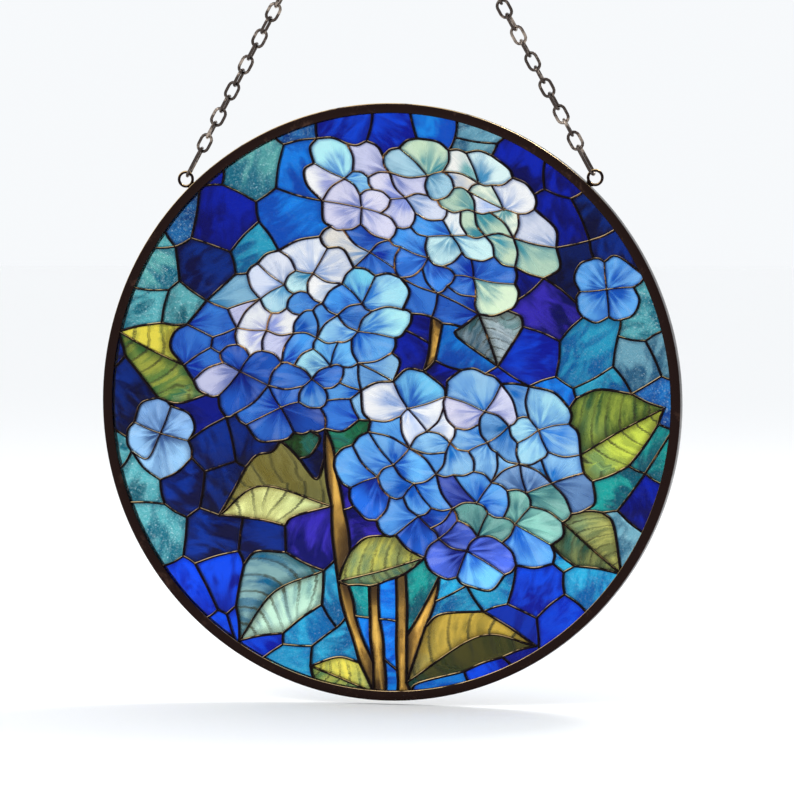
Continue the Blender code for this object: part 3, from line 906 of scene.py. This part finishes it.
LOOP_WIRE = 0.0015
LOOP_RADIUS = 0.0036
FOOT_HALF, FOOT_RISE, FOOT_WIRE = 0.0019, 0.0003, 0.0008
loop_middles, loops = {}, []
for word in ("left", "right"):
    low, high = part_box("loop_" + word)
    middle = (low + high) / 2
    loop_middles[word] = middle
    inward = (MIDDLE - middle).normalized()
    foot = middle + inward * (LOOP_RADIUS + FOOT_RISE)
    foot_path = [foot + inward * FOOT_RISE * x + inward.cross(FRONT) * FOOT_HALF * z
                 for x, z in ((0, -1), (2, -0.5), (2, 0.5), (0, 1), (-1, 0.5), (-1, -0.5))]
    bodies = [wire(round_path(middle, LOOP_RADIUS, 40), LOOP_WIRE / 2, FRONT),
              wire(foot_path, FOOT_WIRE / 2, FRONT)]
    loops.append(finished("loop_of_wire_" + word, *joined(bodies), "bronze_rim"))
    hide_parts("loop_" + word)
print("loops at", [[round(1000 * value, 1) for value in middle]
                   for middle in loop_middles.values()])

# %% Hook the links into each other
LINK_WIRE = 0.0016
LINK_INSIDE = 0.0075
LONG_LINK_INSIDE = 0.0146
LINK_OPENING = 0.0041
LINKS = 27
END_STEPS = 8
TWIST = 7.0


def link_path(top, along, across, inside):
    """The middle line of a link: two half rounds and two straights."""
    radius = (LINK_OPENING + LINK_WIRE) / 2
    path = []
    for middle, sign in ((radius - LINK_WIRE / 2, -1), (inside - radius + LINK_WIRE / 2, 1)):
        for step in range(END_STEPS + 1):
            turn = math.pi * step / END_STEPS
            path.append(top + along * (middle + sign * radius * math.sin(turn))
                        + across * (-sign * radius * math.cos(turn)))
    return path


chains = []
for word, middle in loop_middles.items():
    along = (middle - ring_middle).normalized()
    top = ring_middle + along * (ring_radius - RING_WIRE / 2 - PUTTY)
    bodies = []
    for place in range(LINKS):
        sideways = along.cross(FRONT)
        twist = Matrix.Rotation(math.radians(draw.uniform(-TWIST, TWIST)), 3, along)
        across = twist @ (sideways if place % 2 else FRONT)
        last = place == LINKS - 1
        path = link_path(top, along, across, LONG_LINK_INSIDE if last else LINK_INSIDE)
        bodies.append(wire(path, LINK_WIRE / 2, along.cross(across).normalized()))
        top = top + along * LINK_INSIDE
    chains.append(finished("links_" + word, *joined(bodies), "bronze_chain"))
    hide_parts("chain_" + word)
    print(word, "chain:", LINKS, "links,", len(chains[-1].data.polygons), "faces")

# %% [markdown]
# ## Glass finishes
#
# Art glass is never one colour. A material here mixes each cell's pale and deep tones by streaks
# that follow the glass: noise stretched along u and squeezed across it. Each finish is a few
# nodes, and one helper adds a node and sets its sockets. The IOR is set below real glass's 1.5,
# which would mirror the pale studio in the front and veil the deep blues.

# %% A helper to lay out nodes
class Finish:
    """A material whose nodes are added one call at a time."""

    def __init__(self, name, **plain):
        self.material = bpy.data.materials.new(name)
        self.material.use_nodes = True
        self.nodes = self.material.node_tree.nodes
        self.links = self.material.node_tree.links
        self.shader = self.nodes["Principled BSDF"]
        self.shade(**plain)

    def plug(self, socket, value):
        """Links an output to a socket, or sets the socket to a value."""
        if isinstance(value, bpy.types.NodeSocket):
            self.links.new(value, socket)
        else:
            socket.default_value = value

    def add(self, kind, inputs=(), output=0, **settings):
        """A node with its sockets plugged in order or by name, and one of its outputs."""
        node = self.nodes.new("ShaderNode" + kind)
        for key, value in settings.items():
            setattr(node, key, value)
        for key, value in dict(inputs).items():
            self.plug(node.inputs[key], value)
        return node.outputs[output]

    def attribute(self, name, output="Fac"):
        return self.add("Attribute", output=output, attribute_name=name)

    def math(self, operation, first, second=0.0, clamp=False):
        return self.add("Math", {0: first, 1: second}, operation=operation, use_clamp=clamp)

    def times(self, first, second):
        return self.math("MULTIPLY", first, second)

    def plus(self, first, second, clamp=False):
        return self.math("ADD", first, second, clamp)

    def fade(self, value, low, high, to_low=0.0, to_high=1.0):
        """A soft step of a value between two levels."""
        return self.add("MapRange", {"Value": value, "From Min": low, "From Max": high,
                                     "To Min": to_low, "To Max": to_high},
                        interpolation_type="SMOOTHSTEP")

    def noise(self, vector, scale, detail=3.0, roughness=0.5, distortion=0.0):
        return self.add("TexNoise", {"Vector": vector, "Scale": scale, "Detail": detail,
                                     "Roughness": roughness, "Distortion": distortion})

    def mix(self, factor, first, second, blend="MIX"):
        node = self.nodes.new("ShaderNodeMix")
        node.data_type, node.blend_type = "RGBA", blend
        for number, value in ((0, factor), (6, first), (7, second)):
            self.plug(node.inputs[number], value)
        return node.outputs[2]

    def vector(self, x, y, z):
        return self.add("CombineXYZ", {0: x, 1: y, 2: z})

    def split(self, vector):
        node = self.nodes.new("ShaderNodeSeparateXYZ")
        self.plug(node.inputs[0], vector)
        return node.outputs

    def bump(self, height, strength, distance):
        bumped = self.add("Bump", {"Height": height, "Strength": strength, "Distance": distance})
        self.plug(self.shader.inputs["Normal"], bumped)

    def shade(self, **sockets):
        for key, value in sockets.items():
            self.plug(self.shader.inputs[key.replace("_", " ")], value)
        return self.material


class GlassFinish(Finish):
    """Clear glass that reads the tones and the run of each cell."""

    def __init__(self, name):
        super().__init__(name, IOR=1.22, Transmission_Weight=0.92, Specular_IOR_Level=0.3)
        self.u, self.v, self.seed = self.split(self.attribute("grain", "Vector"))
        self.pale, self.deep = self.attribute("pale", "Color"), self.attribute("deep", "Color")

    def streaks(self, along, across, scale, **settings):
        """Noise over two values, each given with its squeeze, and different in every cell."""
        place = self.vector(self.times(*along), self.times(*across), self.seed)
        return self.noise(place, scale, **settings)

    def painted_shade_by_leads(self, colour, start, most, tint):
        """A colour with painted shade that deepens from a share of the way out, up to the leads."""
        amount = self.fade(self.attribute("near_lead"), start, 1.0, 0.0, most)
        return self.mix(amount, colour, self.mix(1.0, self.deep, (*tint, 1), "MULTIPLY"))


# %% Petal glass: opal streaks from the heart outward
def petal_finish():
    look = GlassFinish("opal_petal_glass")
    angle = look.math("ARCTAN2", look.v, look.plus(look.u, 0.02))
    squares = look.plus(look.times(look.u, look.u), look.times(look.v, look.v))
    reach = look.math("POWER", squares, 0.5)
    ray = look.streaks((reach, 0.5), (angle, 1.5), 2.4, detail=2.0, distortion=0.3)
    hair = look.streaks((reach, 1.2), (angle, 5.0), 3.0, roughness=0.6)
    cloud = look.noise(look.vector(look.u, look.v, look.plus(look.seed, 7.0)), 1.5, detail=1.5)
    inner = look.times(look.fade(reach, 0.10, 0.85, 1.0, 0.0),
                       look.fade(ray, 0.34, 0.60, 0.15, 1.0))
    chance = look.plus(look.fade(cloud, 0.40, 0.66, -0.12, 0.42),
                       look.fade(hair, 0.3, 0.7, -0.12, 0.12))
    colour = look.mix(look.plus(inner, chance, clamp=True), look.pale, look.deep)
    milk = look.times(look.fade(ray, 0.54, 0.36, 0.0, 0.5), look.fade(reach, 0.2, 0.8, 0.1, 1.0))
    milk = look.times(milk, look.fade(look.attribute("kind"), 0.0, 1.0, 0.15, 1.0))
    colour = look.mix(milk, colour, look.mix(0.15, look.pale, (0.95, 0.98, 1.0, 1)))
    # painted shade: each petal darkens towards the leads round it
    colour = look.painted_shade_by_leads(colour, 0.78, 0.72, (0.42, 0.46, 0.60))
    look.bump(look.plus(ray, look.times(hair, 0.3)), 0.25, 0.0004)
    return look.shade(Base_Color=colour, Roughness=look.fade(ray, 0.3, 0.7, 0.20, 0.32))


# %% Leaf glass: streaks and fine veins
def leaf_finish():
    look = GlassFinish("veined_leaf_glass")
    aside = look.math("ABSOLUTE", look.v)
    back = look.math("POWER", look.times(aside, 2.6), 1.5)
    run = look.math("SUBTRACT", look.times(look.u, 6.5), look.times(back, 1.7))
    streak = look.streaks((run, 1.1), (aside, 1.6), 1.5, roughness=0.6, distortion=0.3)
    patch = look.noise(look.vector(look.u, look.v, look.plus(look.seed, 5.0)), 3.0,
                       detail=2.0, distortion=0.4)
    shade = look.plus(look.fade(streak, 0.36, 0.64, -0.2, 0.75),
                      look.fade(patch, 0.35, 0.65, -0.15, 0.35), clamp=True)
    colour = look.mix(shade, look.pale, look.deep)
    base = look.times(look.fade(look.u, 0.55, 0.0, 0.0, 0.45),
                      look.fade(patch, 0.35, 0.6, 0.2, 1.0))
    colour = look.mix(base, colour, (0.03, 0.24, 0.20, 1))
    # painted shade: each leaf half darkens towards its leads
    colour = look.painted_shade_by_leads(colour, 0.62, 0.75, (0.50, 0.38, 0.26))
    off = look.math("ABSOLUTE", look.math("SUBTRACT", look.math("FRACT", run), 0.5))
    vein = look.times(look.fade(off, 0.025, 0.085, 1.0, 0.0),
                      look.fade(aside, 0.0, 0.30, 0.95, 0.55))
    colour = look.mix(vein, colour, (0.030, 0.030, 0.012, 1))
    look.bump(streak, 0.3, 0.0004)
    return look.shade(Base_Color=colour, Roughness=look.fade(streak, 0.3, 0.7, 0.16, 0.30))


# %% Stem glass: amber, with painted shade along its edges
def stem_finish():
    look = GlassFinish("amber_stem_glass")
    streak = look.streaks((look.u, 2.0), (look.v, 1.8), 1.6, roughness=0.55, distortion=0.3)
    colour = look.mix(look.fade(streak, 0.38, 0.60, 0.0, 0.7), look.pale, look.deep)
    # painted shade: the stem darkens towards the leads along both its long edges
    edge = look.fade(look.math("ABSOLUTE", look.v), 0.14, 0.46, 0.0, 0.92)
    colour = look.mix(edge, colour, (0.030, 0.014, 0.006, 1))
    look.bump(streak, 0.3, 0.0004)
    return look.shade(Base_Color=colour, Roughness=look.fade(streak, 0.3, 0.7, 0.15, 0.30))


# %% Ground glass: seedy where it is teal, swirled where it is deep blue
def ground_finish():
    look = GlassFinish("seedy_ground_glass")
    swirl = look.streaks((look.u, 1.0), (look.v, 2.2), 0.9, detail=2.0, distortion=1.2)
    streak = look.streaks((look.u, 0.8), (look.v, 6.0), 2.2, roughness=0.55, distortion=0.5)
    chance = look.plus(look.fade(swirl, 0.38, 0.62, -0.3, 0.55),
                       look.fade(streak, 0.3, 0.7, -0.16, 0.16))
    shade = look.plus(look.fade(look.u, -0.6, 0.6, 0.75, 0.0), chance, clamp=True)
    colour = look.mix(shade, look.pale, look.deep)
    where = look.add("TexCoord", output="Object")
    frost = look.noise(where, 900.0, roughness=0.7)
    speck = look.add("TexVoronoi", {"Vector": where, "Scale": 620.0, "Randomness": 1.0})
    seeds = look.times(look.fade(speck, 0.12, 0.34, 0.85, 0.0),
                       look.fade(streak, 0.36, 0.60, 0.25, 1.0))
    seeds = look.plus(seeds, look.fade(frost, 0.50, 0.72, 0.0, 0.6), clamp=True)
    seeds = look.times(seeds, look.times(look.attribute("kind"), 0.62))
    colour = look.mix(seeds, colour, (0.80, 0.96, 0.96, 1))
    # painted shade: each pane darkens towards its leads
    colour = look.painted_shade_by_leads(colour, 0.80, 0.6, (0.5, 0.5, 0.6))
    waves = look.noise(where, 130.0, detail=2.0, distortion=0.5)
    look.bump(look.plus(waves, look.times(seeds, 0.4)), 0.5, 0.0008)
    return look.shade(Base_Color=colour, Roughness=look.fade(streak, 0.3, 0.7, 0.05, 0.16))


glass_finishes = {"petal_glass": petal_finish(), "leaf_glass": leaf_finish(),
                  "stem_glass": stem_finish(), "ground_glass": ground_finish()}
for node, piece in glass.items():
    piece.data.materials.append(glass_finishes[SLOTS[node.split("_")[0]]])
print("glass finishes:", sorted(glass_finishes))

# %% [markdown]
# ## Metal finishes
#
# Solder and brass are darkened with a patina, which wears off in patches that show copper or
# gold. Where the surface of a lead, the rim or a loop turns up and to the front, the finish can
# paint a pale gold highlight into its colour. One function makes all four metals.

# %% Patina metals
# the colour of the painted highlight on upward edges
PAINTED_HIGHLIGHT = ink(240, 206, 150)


def patina_finish(name, dark, bare, worn, roughness, lit=None):
    """Dark metal, bare where its noise passes a level, with a painted highlight on upward edges if
    asked.
    """
    metal = Finish(name, Metallic=1.0)
    where = metal.add("TexCoord", output="Object")
    cloud = metal.noise(where, 90.0, detail=5.0, roughness=0.65, distortion=0.4)
    grain = metal.noise(where, 900.0)
    wear = metal.plus(cloud, metal.times(grain, 0.25))
    colour = metal.mix(metal.fade(wear, worn, worn + 0.16), (*dark, 1), (*bare, 1))
    if lit:
        # painted highlight: pale gold on edges that face up and to the front, in cloudy patches
        facing = metal.split(metal.add("NewGeometry", output="Normal"))
        upward = metal.plus(facing[2], metal.times(facing[0], -0.35))
        frontal = metal.fade(metal.math("ABSOLUTE", facing[1]), 0.15, 0.40)
        amount = metal.times(metal.times(metal.fade(upward, 0.30, 0.62), frontal),
                             metal.fade(cloud, *lit))
        colour = metal.mix(amount, colour, (*PAINTED_HIGHLIGHT, 1))
    metal.bump(metal.plus(metal.times(cloud, 0.7), metal.times(grain, 0.3)), 0.25, 0.0003)
    return metal.shade(Base_Color=colour,
                       Roughness=metal.fade(wear, 0.45, 0.8, roughness, roughness - 0.12))


rim_metal = patina_finish("dark_bronze_rim", ink(40, 30, 28), ink(64, 48, 42),
                          0.70, 0.34, lit=(0.30, 0.50))
lead_metal = patina_finish("dark_leading", ink(34, 28, 30), ink(110, 78, 50),
                           0.72, 0.42, lit=(0.44, 0.56))
petal_lead_metal = patina_finish("copper_leading", ink(40, 32, 40), ink(170, 122, 74),
                                 0.68, 0.38, lit=(0.36, 0.50))
chain_metal = patina_finish("dark_bronze_chain", ink(70, 62, 58), ink(160, 146, 134), 0.62, 0.30)
for piece in [rim, *loops]:
    piece.data.materials.append(rim_metal)
for piece in [ring, *chains]:
    piece.data.materials.append(chain_metal)
for family, piece in leads.items():
    piece.data.materials.append(lead_metal if family == "leading" else petal_lead_metal)
print("metal pieces:", 2 + len(loops) + len(chains) + len(leads))

# %% [markdown]
# ## Studio
#
# Glass is lit by what is behind it, so the floor and the sky of this studio are one pale field.
# The camera is far off with a long lens, a little to the right of the panel and above it.

# %% Floor, sky and lamps
FLOOR_GAP = 0.002
FLOOR_REACH = 40
floor_level = rim_low.z - FLOOR_GAP
corners = [(x * FLOOR_REACH, y * FLOOR_REACH, floor_level)
           for x, y in ((-1, -1), (1, -1), (1, 1), (-1, 1))]
studio_floor = placed("floor", new_mesh("floor", corners, [(0, 1, 2, 3)]))
paint = Finish("pale_floor", Roughness=0.9, Specular_IOR_Level=0.1)
studio_floor.data.materials.append(paint.shade(Base_Color=(0.985, 0.985, 0.985, 1)))

world = bpy.data.worlds.new("pale sky")
world.use_nodes = True
sky = world.node_tree.nodes["Background"].inputs
sky["Color"].default_value = (0.93, 0.95, 0.97, 1)
sky["Strength"].default_value = 1.0
bpy.context.scene.world = world
bpy.context.scene.view_settings.view_transform = "Standard"


def soft_lamp(name, place, size, power):
    """A square soft lamp that looks at the panel."""
    lamp = bpy.data.lights.new(name, "AREA")
    lamp.size, lamp.energy = size, power
    thing = placed(name, lamp)
    thing.location = place
    thing.rotation_euler = (MIDDLE - thing.location).to_track_quat("-Z", "Y").to_euler()
    return thing


soft_lamp("front lamp", (-0.9, -1.6, 0.9), 0.8, 12)
soft_lamp("back lamp", (0.5, 1.2, 1.4), 0.6, 16)
print("floor at", round(1000 * floor_level), "mm")

# %% Camera
AZIMUTH, ELEVATION, DISTANCE, LENS = math.radians(15.0), math.radians(2.0), 2.215, 200.0
PIXEL = 0.0005015
RIGHT_OF_MIDDLE, ABOVE_MIDDLE = 9.0 * PIXEL, 5.4 * PIXEL
away = Vector((math.sin(AZIMUTH) * math.cos(ELEVATION), -math.cos(AZIMUTH) * math.cos(ELEVATION),
               math.sin(ELEVATION)))
camera_data = bpy.data.cameras.new("camera")
camera_data.lens, camera_data.sensor_width = LENS, 36.0
camera = placed("camera", camera_data)
right = Vector((math.cos(AZIMUTH), math.sin(AZIMUTH), 0))
target = MIDDLE + right * RIGHT_OF_MIDDLE + Vector((0, 0, ABOVE_MIDDLE))
camera.location = target + away * DISTANCE
camera.rotation_euler = (-away).to_track_quat("-Z", "Y").to_euler()
bpy.context.scene.camera = camera
print("camera", DISTANCE, "m away, lens", LENS, "mm")
